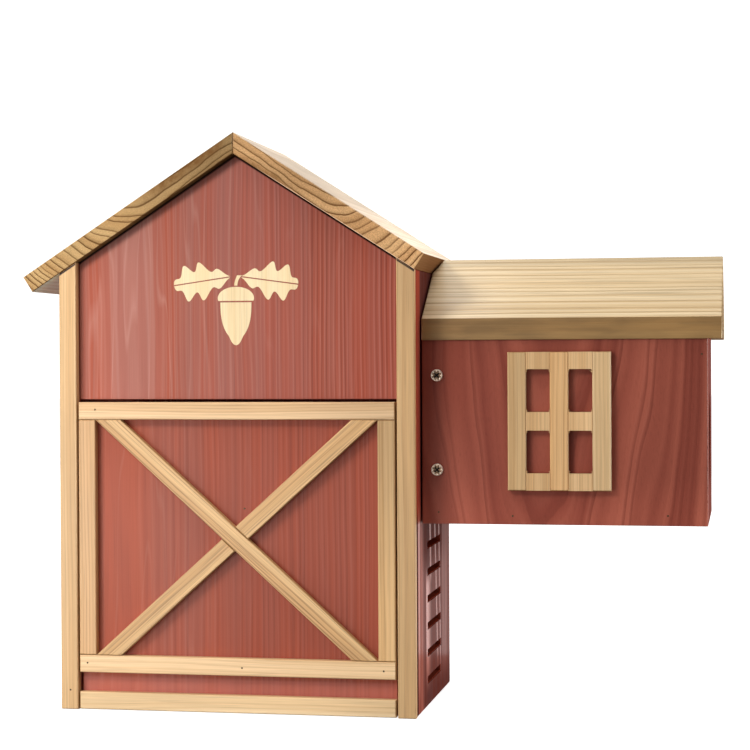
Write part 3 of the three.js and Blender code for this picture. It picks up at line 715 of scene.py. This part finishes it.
def add_object(name, mesh, material):
    mesh.materials.append(material)
    made = bpy.data.objects.new(name, mesh)
    bpy.context.scene.collection.objects.link(made)
    return made


def mesh_of(name, shape):
    """The mesh of a finished shape."""
    mesh = bpy.data.meshes.new(name)
    shape.to_mesh(mesh)
    shape.free()
    return mesh


def turned(name, rings, steps, depth=lambda x, y: 0):
    """A round body from (radius, height) rings round Z. depth lowers a point by its place across."""
    shape = bmesh.new()
    rows = []
    for radius, height in rings:
        if radius == 0:
            rows.append([shape.verts.new((0, 0, height - depth(0, 0)))] * steps)
            continue
        row = []
        for step in range(steps):
            angle = math.tau * step / steps
            x, y = radius * math.cos(angle), radius * math.sin(angle)
            row.append(shape.verts.new((x, y, height - depth(x, y))))
        rows.append(row)
    for upper, lower in zip(rows, rows[1:]):
        for step in range(steps):
            corners = [upper[step], lower[step], lower[step - 1], upper[step - 1]]
            unique = list(dict.fromkeys(corners))
            if len(unique) > 2:
                shape.faces.new(unique)
    bmesh.ops.recalc_face_normals(shape, faces=shape.faces)
    mesh = mesh_of(name, shape)
    mesh.shade_smooth()
    return mesh


def smooth_step(value, low, high):
    share = min(max((value - low) / (high - low), 0), 1)
    return share * share * (3 - 2 * share)


# Pan-head wood screws: a rolled rim round a sunk face with nibs and a cross recess
SCREW_HEAD = 4.7 * MM
SCREW_HEIGHT = 2.6 * MM
SCREW_SHANK = 2 * MM
SCREW_LENGTH = 24 * MM
RIM_WIDTH = 0.8 * MM
RIM_BLEND = 0.2 * MM
RIM_FALL = 0.6
FACE_SINK = 0.7 * MM
RECESS_REACH = 2.8 * MM
RECESS_HALF = 0.5 * MM
RECESS_DEPTH = 1.3 * MM
RECESS_TURN = math.radians(42)
NIB_COUNT = 8
NIB_HEIGHT = 0.45 * MM
SCREW_STEPS = 120
HEAD_ROWS = 30


def recess(x, y):
    """How far a place on the head lies below the profile: the cross with its soft sides, less the nibs."""
    along = abs(x * math.cos(RECESS_TURN) + y * math.sin(RECESS_TURN))
    beside = abs(-x * math.sin(RECESS_TURN) + y * math.cos(RECESS_TURN))
    arm = 0
    for length, width in ((along, beside), (beside, along)):
        inside = 1 - smooth_step(width, RECESS_HALF * 0.8, RECESS_HALF * 1.4)
        arm = max(arm, inside * (1 - smooth_step(length, RECESS_REACH * 0.75, RECESS_REACH)))
    radius = math.hypot(x, y)
    ring = smooth_step(radius, RECESS_REACH * 0.9, RECESS_REACH * 1.1)
    ring *= 1 - smooth_step(radius, SCREW_HEAD - RIM_WIDTH * 1.1, SCREW_HEAD - RIM_WIDTH * 0.9)
    nib = max(0, math.cos(NIB_COUNT * math.atan2(y, x))) ** 0.5
    return RECESS_DEPTH * arm - NIB_HEIGHT * ring * nib


def head_height(radius):
    """Height of the head at a radius: sunk inside the rim, and rolled off towards the outside."""
    inner = SCREW_HEAD - RIM_WIDTH
    sink = FACE_SINK * (1 - smooth_step(radius, inner - RIM_BLEND, inner + RIM_BLEND))
    fall = SCREW_HEIGHT * RIM_FALL * max(0, (radius - inner) / RIM_WIDTH) ** 3
    return SCREW_HEIGHT - sink - fall


def mottled_plate_painted_light(name, rim, face, shadow, reach):
    """Zinc plate with a faint mottle, a painted highlight on the rim past a reach from the middle, and a
    darker face inside it with painted shade deep in its recess.
    """
    g = Graph(name)
    place = g.node("ShaderNodeTexCoord").outputs["Object"]
    radius = g.vector("LENGTH", g.vector("MULTIPLY", place, (1, 1, 0)))
    cloud = g.noise(place, size=0.8 * MM, along=1, seed=3.0, detail=3.0)
    depth = g.node("ShaderNodeSeparateXYZ", {0: place}).outputs["Z"]
    raised = g.between(depth, SCREW_HEIGHT - FACE_SINK - 0.6 * MM, SCREW_HEIGHT - FACE_SINK + 0.35 * MM)
    inner = g.ramp(raised, ((0.0, shadow), (0.55, face), (0.68, face), (1.0, rim)))
    color = g.mix(g.between(radius, reach - 0.3 * MM, reach + 0.1 * MM), inner, rim)
    color = g.tinted(color, g.grey(g.between(cloud, *CLOUD_SPREAD, out_low=0.6, out_high=1.3)))
    return g.finish(color, g.between(cloud, *CLOUD_SPREAD, *PLATE_ROUGH), Metallic=0.6)


screw_metal = mottled_plate_painted_light(
    "screw_zinc", rim=srgb(255, 236, 214), face=srgb(136, 110, 83), shadow=srgb(28, 15, 7),
    reach=SCREW_HEAD - RIM_WIDTH,
)
head_radii = [SCREW_HEAD * row / HEAD_ROWS for row in range(HEAD_ROWS + 1)]
head_rings = [(radius, head_height(radius)) for radius in head_radii]
shank_rings = [
    (SCREW_HEAD, 0), (SCREW_SHANK, 0), (SCREW_SHANK, 2 * SCREW_SHANK - SCREW_LENGTH), (0, -SCREW_LENGTH),
]
for name in sorted(name for name in nodes if name.startswith("annex_screw")):
    low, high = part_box(name)
    outward = -Y if "front" in name else Y
    seat = low.y + SCREW_HEIGHT if "front" in name else high.y - SCREW_HEIGHT
    head_mesh = turned(f"{name}_head", head_rings + shank_rings, SCREW_STEPS, recess)
    screw = add_object(f"{name}_head", head_mesh, screw_metal)
    screw.rotation_euler = outward.to_track_quat("Z", "Y").to_euler()
    screw.location = ((low.x + high.x) / 2, seat, (low.z + high.z) / 2)
    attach(screw, "house")
    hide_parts(name)
for name in ("pivot_pin_left", "pivot_pin_right"):
    nodes[name].data.materials.clear()
    nodes[name].data.materials.append(plated(f"{name}_zinc", srgb(205, 190, 150)))


# Small brads that hold the strips and the annex boards: X and Z in mm, on a face at one depth
BRAD_RADIUS = 0.75 * MM
STRIP_FACE = -88
ANNEX_FACE = -63
BRAD_STEPS = 20
brad_rings = [
    (0, 0.05 * MM), (BRAD_RADIUS * 0.6, 0.06 * MM), (BRAD_RADIUS * 0.9, 0.12 * MM),
    (BRAD_RADIUS, 0.02 * MM), (BRAD_RADIUS, -0.3 * MM),
]
brad_metal = plated("brad_steel", srgb(92, 74, 56))
for body, face, places in (
    ("door", STRIP_FACE, ((-113.3, 237.3), (-120.7, 37.1), (5.2, 35.9), (117.5, 36.1), (7.9, 160.2))),
    ("house", STRIP_FACE, ((-134.9, 15.3),)),
    ("house", ANNEX_FACE, ((156.9, 157.1), (214.6, 154.6), (333.2, 155.8), (359.0, 278.8))),
):
    for x, z in places:
        label = f"brad_{body}_{round(x + 200)}_{round(z)}"
        brad = add_object(label, turned(label, brad_rings, BRAD_STEPS), brad_metal)
        brad.rotation_euler = (-Y).to_track_quat("Z", "Y").to_euler()
        brad.location = (x * MM, face * MM, z * MM)
        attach(brad, body)


def prism(name, outline, front, back, material):
    """A piece with one outline of (x, z) points in mm, from a front depth to a back depth."""
    shape = bmesh.new()
    faces = [[shape.verts.new(Vector((x, y, z)) * MM) for x, z in outline] for y in (front, back)]
    for face in faces:
        shape.faces.new(face)
    near, far = faces
    for index in range(len(outline)):
        shape.faces.new((near[index - 1], near[index], far[index], far[index - 1]))
    bmesh.ops.recalc_face_normals(shape, faces=shape.faces)
    bmesh.ops.triangulate(shape, faces=[face for face in shape.faces if len(face.verts) > 4])
    piece = add_object(name, mesh_of(name, shape), material)
    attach(piece, "house")


# Glue beads in the window's joints, which round the corners of its four openings
BEAD_RADIUS = 1.3
WORN_BEAD_RADIUS = 2.6
BEAD_SINK = 0.01
BEAD_STEPS = 6
LEVELS = ("lower", "middle", "upper")


def corner_arc(joint, level, toward, upward, radius):
    """Points of a hollow corner, from the stile's side to the rail's."""
    points = []
    for step in range(BEAD_STEPS + 1):
        angle = math.pi / 2 * step / BEAD_STEPS
        across = radius * (1 - math.cos(angle))
        away = radius * (1 - math.sin(angle))
        points.append((joint + toward * across, level + upward * away))
    return points


bead_wood = wood(
    "bead_wood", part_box("window_mullion")[0], WINDOW, board_axes(Z, X), 2.2, 171, tint=(0.86, 0.78, 0.66),
)
for level in LEVELS:
    for side, before, after in (("left", "left_stile", "mullion"), ("right", "mullion", "right_stile")):
        low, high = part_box(f"window_{level}_rail_{side}")
        for label, joint, rail, toward in (
            ("start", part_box(f"window_{before}")[1].x / MM, low.x / MM, 1),
            ("end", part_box(f"window_{after}")[0].x / MM, high.x / MM, -1),
        ):
            foot, head = low.z / MM, high.z / MM
            worn = (level, side, label) == ("upper", "right", "end")
            radius = WORN_BEAD_RADIUS if worn else BEAD_RADIUS
            outline = [(joint, foot), (rail, foot)]
            if level != "lower":
                outline = corner_arc(joint, foot, toward, -1, radius) + [(rail, foot)]
            if level == "upper":
                outline += [(rail, head), (joint, head)]
            else:
                outline += [(rail, head)] + corner_arc(joint, head, toward, 1, radius)[::-1]
            front, back = low.y / MM + BEAD_SINK, high.y / MM
            prism(f"bead_{level}_{side}_{label}", outline, front, back, bead_wood)

# Glue in the mitre at the ridge
MITRE_HALF = 0.16
MITRE_SINK = 0.1
MITRE_UNDERSIDE = 366.95
roof_low, roof_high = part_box("roof_left")
mitre_foot = MITRE_UNDERSIDE / math.cos(SLOPE)
mitre_head = roof_high.z / MM - MITRE_SINK
mitre_outline = [
    (-MITRE_HALF, mitre_foot), (MITRE_HALF, mitre_foot), (MITRE_HALF, mitre_head), (-MITRE_HALF, mitre_head),
]
mitre_wood = wood("mitre_wood", Vector((0, 0, 0.4)), ROOF, board_axes(Y, X), 6, 191, tint=(0.6, 0.5, 0.4))
prism(
    "ridge_mitre_glue", mitre_outline, roof_low.y / MM + MITRE_SINK, roof_high.y / MM - MITRE_SINK,
    mitre_wood,
)


# A plain acorn with two oak leaves, inlaid in pale wood in the middle of the gable. Sizes in mm.
GABLE_FACE = -80.7
ORNAMENT_MIDDLE = (0, 316)
INLAY_PROUD = 0.12
INLAY_DEPTH = 0.3
LEAF_LENGTH = 46
LEAF_HALF = 11.5
LEAF_FOOT = (4.5, 25)
RIB_GAP = 0.45
NUT_HALF = 12.5
NUT_TOP = 5
NUT_LENGTH = 30
CAP_HALF = 15
CAP_FOOT = 6.2
CAP_HEIGHT = 11
STEM_HALF = 1.3
STEM_LENGTH = 8
STEM_GAP = 0.9
STEM_BEND = 3

# Steps, degrees, shares and powers that shape its curves
INLAY_STEPS = 64
LEAF_TILT = -8
LEAF_LOBES = 3.5
LOBE_DEPTH = 0.34
LEAF_POWERS = (1.15, 0.75)
LEAF_LEAN = 0.25
NUT_POWERS = (2.6, 0.62)
NUT_TIP = 0.12
NUT_TIP_START = 0.86
CAP_POWERS = (2.4, 0.5)
CAP_LIP = 0.06
CAP_LIP_POWER = 6
STEM_FLARE = 0.5
STEM_FLARE_POWER = 4


def inlay(name, pairs, material):
    """A thin flat piece between two outlines, let into the board. pairs are the (x, z) points of its rows."""
    shape = bmesh.new()
    rows = []
    for pair in pairs:
        row = []
        for x, z in pair:
            place = Vector((x + ORNAMENT_MIDDLE[0], GABLE_FACE - INLAY_PROUD, z + ORNAMENT_MIDDLE[1])) * MM
            row += [shape.verts.new(place), shape.verts.new(place + Y * (INLAY_PROUD + INLAY_DEPTH) * MM)]
        rows.append(row)
    for first, second in zip(rows, rows[1:]):
        shape.faces.new((first[0], second[0], second[2], first[2]))
        for top, foot in ((0, 1), (2, 3)):
            shape.faces.new((first[top], second[top], second[foot], first[foot]))
    bmesh.ops.remove_doubles(shape, verts=shape.verts, dist=0.001 * MM)
    bmesh.ops.recalc_face_normals(shape, faces=shape.faces)
    piece = add_object(name, mesh_of(name, shape), material)
    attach(piece, "house")


def leaf_half(side, half):
    """One half of an oak leaf: side is -1 left and 1 right, half is 1 above the rib and -1 below."""
    tilt = math.radians(LEAF_TILT)
    pairs = []
    for step in range(INLAY_STEPS + 1):
        share = step / INLAY_STEPS
        lobes = 1 + LOBE_DEPTH * math.cos(math.tau * LEAF_LOBES * share + math.pi)
        width = 0
        if 0 < share < 1:
            width = LEAF_HALF * math.sin(math.pi * share ** LEAF_POWERS[0]) ** LEAF_POWERS[1] * lobes
        pair = []
        for out, reach in ((0, 0), (width, LEAF_LEAN * width)):
            along, beside = share * LEAF_LENGTH + reach, half * (RIB_GAP + out)
            x = LEAF_FOOT[0] + along * math.cos(tilt) - beside * math.sin(tilt)
            z = LEAF_FOOT[1] + along * math.sin(tilt) + beside * math.cos(tilt)
            pair.append((side * x, z))
        pairs.append(pair)
    return pairs


def dome(share, powers):
    """A half width that goes from 1 at share 0 to nothing at share 1."""
    return (1 - share ** powers[0]) ** powers[1]


def stacked(row):
    """Pairs of points left and right of a middle. row gives middle, half width and height at a share."""
    pairs = []
    for step in range(INLAY_STEPS + 1):
        middle, width, z = row(step / INLAY_STEPS)
        pairs.append(((middle - width, z), (middle + width, z)))
    return pairs


def acorn_nut(share):
    """The nut, round in the shoulders and pointed at its foot."""
    tip = NUT_TIP * NUT_LENGTH * smooth_step(share, NUT_TIP_START, 1)
    return 0, NUT_HALF * dome(share, NUT_POWERS), NUT_TOP - share * NUT_LENGTH - tip


def acorn_cap(share):
    """The cap, a dome that draws in a little at its rim."""
    width = CAP_HALF * dome(share, CAP_POWERS) * (1 - CAP_LIP * (1 - share) ** CAP_LIP_POWER)
    return 0, width, CAP_FOOT + share * CAP_HEIGHT


def acorn_stem(share):
    """The stem, bent to one side and flared at its end."""
    width = STEM_HALF * (1 + STEM_FLARE * share ** STEM_FLARE_POWER)
    return STEM_BEND * share * share, width, CAP_FOOT + CAP_HEIGHT + STEM_GAP + share * STEM_LENGTH


INLAY_START = Vector((0, GABLE_FACE, ORNAMENT_MIDDLE[1])) * MM
inlay_wood = wood("inlay_wood", INLAY_START + Vector((-40, 0, 0)) * MM, PALE, board_axes(Z, X), 4.2, 181)
for name, row in (("acorn_nut", acorn_nut), ("acorn_cap", acorn_cap), ("acorn_stem", acorn_stem)):
    inlay(name, stacked(row), inlay_wood)
for side_name, side in (("left", -1), ("right", 1)):
    for half_name, half in (("upper", 1), ("lower", -1)):
        inlay(f"oak_leaf_{side_name}_{half_name}", leaf_half(side, half), inlay_wood)


# Stage, lights and camera

FLOOR_REACH = 14
FLOOR_DROP = 0.2 * MM
DOME_SHARE = 0.9
AIR_LIGHT = 0.3
BACKDROP_LIGHT = 1.0
FLOOR_GLOW = 0.78


def studio_paint(name, glow):
    """Matt pale paint with a faint mottle and a glow of its own that keeps it pale."""
    g = Graph(name)
    grit = g.noise(g.node("ShaderNodeTexCoord").outputs["Object"], 0.4, 1, 1.0)
    pale = g.ramp(grit, ((0.3, srgb(242, 242, 241)), (0.7, srgb(247, 247, 246))))
    return g.finish(pale, 0.9, Emission_Color=(1, 1, 1, 1), Emission_Strength=glow)


floor_mesh = bpy.data.meshes.new("studio_floor")
corners = [(x * FLOOR_REACH, y * FLOOR_REACH, 0) for x, y in ((-1, -1), (1, -1), (1, 1), (-1, 1))]
floor_mesh.from_pydata(corners, [], [(0, 1, 2, 3)])
studio_floor = add_object("studio_floor", floor_mesh, studio_paint("floor_paint", FLOOR_GLOW))
studio_floor.location.z = -FLOOR_DROP
studio_floor.visible_diffuse = False
studio_floor.visible_glossy = False

shell = bmesh.new()
bmesh.ops.create_uvsphere(shell, u_segments=48, v_segments=24, radius=FLOOR_REACH * DOME_SHARE)
backdrop_paint = studio_paint("backdrop_paint", BACKDROP_LIGHT)
backdrop = add_object("studio_backdrop", mesh_of("studio_backdrop", shell), backdrop_paint)
for light_kind in ("diffuse", "glossy", "transmission", "shadow"):
    setattr(backdrop, f"visible_{light_kind}", False)

world = bpy.data.worlds.new("studio_air")
world.use_nodes = True
air = world.node_tree.nodes["Background"]
air.inputs["Color"].default_value = (1, 1, 1, 1)
air.inputs["Strength"].default_value = AIR_LIGHT
bpy.context.scene.world = world


def softbox(name, place, target, width, height, power, diffuse=True):
    """A rectangle of light that looks at a target. With diffuse off, only its mirror image shows."""
    light = bpy.data.lights.new(name, "AREA")
    light.shape = "RECTANGLE"
    light.size = width
    light.size_y = height
    light.energy = power
    box = bpy.data.objects.new(name, light)
    box.location = place
    box.rotation_euler = (Vector(target) - Vector(place)).to_track_quat("-Z", "Y").to_euler()
    box.visible_camera = False
    box.visible_diffuse = diffuse
    bpy.context.scene.collection.objects.link(box)


# Lights: place, target, width, height and power
softbox("key_light", (-0.62, -0.95, 1.0), (0, 0, 0.2), 0.4, 0.4, 11.3)
softbox("top_light", (0.5, -0.55, 1.85), (0.25, 0, 0.3), 0.9, 0.9, 9)
softbox("side_light", (-0.95, -1.9, 0.35), (-0.1, 0, 0.25), 0.5, 1.0, 3)
softbox("low_light", (-0.4, -0.9, 0.06), (-0.05, 0, 0.06), 0.6, 0.12, 2.4)
softbox("bounce_light", (-0.7, -0.3, 0.03), (-0.15, 0, 0.3), 0.6, 0.6, 2.1)
softbox("right_light", (1.7, 0.05, 0.2), (0.14, 0.05, 0.15), 0.6, 0.5, 15)
softbox("rear_light", (0.14, 3.0, 1.05), (0.14, 0, 0.3), 4.0, 1.1, 20)
softbox("gloss_card", (0.2, 0.24, 0.08), (0.2, 0.0, 0.08), 0.16, 0.16, 0.1, diffuse=False)
softbox("inside_light", (0.0, -0.03, 0.14), (0.14, 0.02, 0.09), 0.1, 0.1, 0.015)
softbox("ridge_light", (0.0, 0.25, 0.7), (0.06, 0.0, 0.42), 0.15, 0.15, 0.5)
softbox("valley_light", (0.158, -0.01, 0.45), (0.165, -0.02, 0.34), 0.06, 0.06, 0.035)

CAMERA_PLACE = (0.39187, -1.57631, 0.27704)
CAMERA_LENS = 94.637
CAMERA_SENSOR = 36
CAMERA_TURN = 10.658
CAMERA_DROP = 0.4968
CAMERA_ROLL = -0.278
view = bpy.data.cameras.new("photo_camera")
view.lens = CAMERA_LENS
view.sensor_width = CAMERA_SENSOR
camera = bpy.data.objects.new("photo_camera", view)
turn = Matrix.Rotation(math.radians(CAMERA_TURN), 4, "Z")
tilt = Matrix.Rotation(math.radians(90 - CAMERA_DROP), 4, "X")
roll = Matrix.Rotation(math.radians(CAMERA_ROLL), 4, "Z")
camera.matrix_world = Matrix.Translation(CAMERA_PLACE) @ turn @ tilt @ roll
bpy.context.scene.collection.objects.link(camera)
bpy.context.scene.camera = camera
bpy.context.scene.view_settings.view_transform = "Standard"
